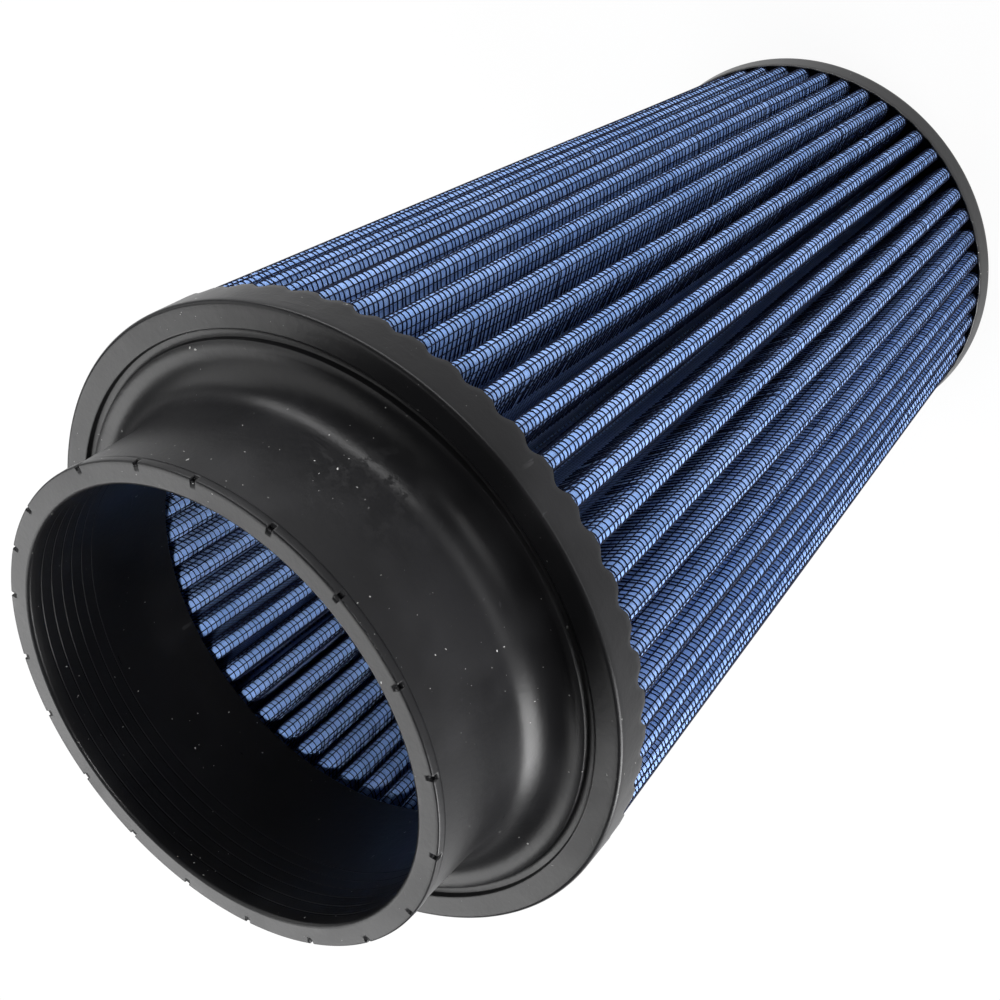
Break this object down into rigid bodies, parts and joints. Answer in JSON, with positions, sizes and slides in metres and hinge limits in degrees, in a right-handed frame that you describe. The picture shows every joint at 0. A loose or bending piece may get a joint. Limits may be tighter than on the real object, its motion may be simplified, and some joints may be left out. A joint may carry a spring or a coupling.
{
  "type": "cold air intake filter",
  "caption": "Conical engine intake air filter: pleated gauze between wire screens, with a rubber hose neck at the wide end and a closed rubber cap at the narrow end.",
  "frame": {"origin": "centre of the cap's flat underside, on which the filter stands", "axes": "+Z along the filter's axis, from the cap to the mouth of the neck"},
  "size_m": [0.149, 0.149, 0.26],
  "materials": {
    "black_rubber": "satin moulded",
    "blue_gauze": "oiled cotton",
    "coated_wire": "epoxy coat"
  },
  "bodies": {
    "root": {"base_flange": "black_rubber", "end_cap": "black_rubber", "filter_media": "blue_gauze", "outer_screen": "coated_wire", "inner_screen": "coated_wire"}
  },
  "joints": []
}
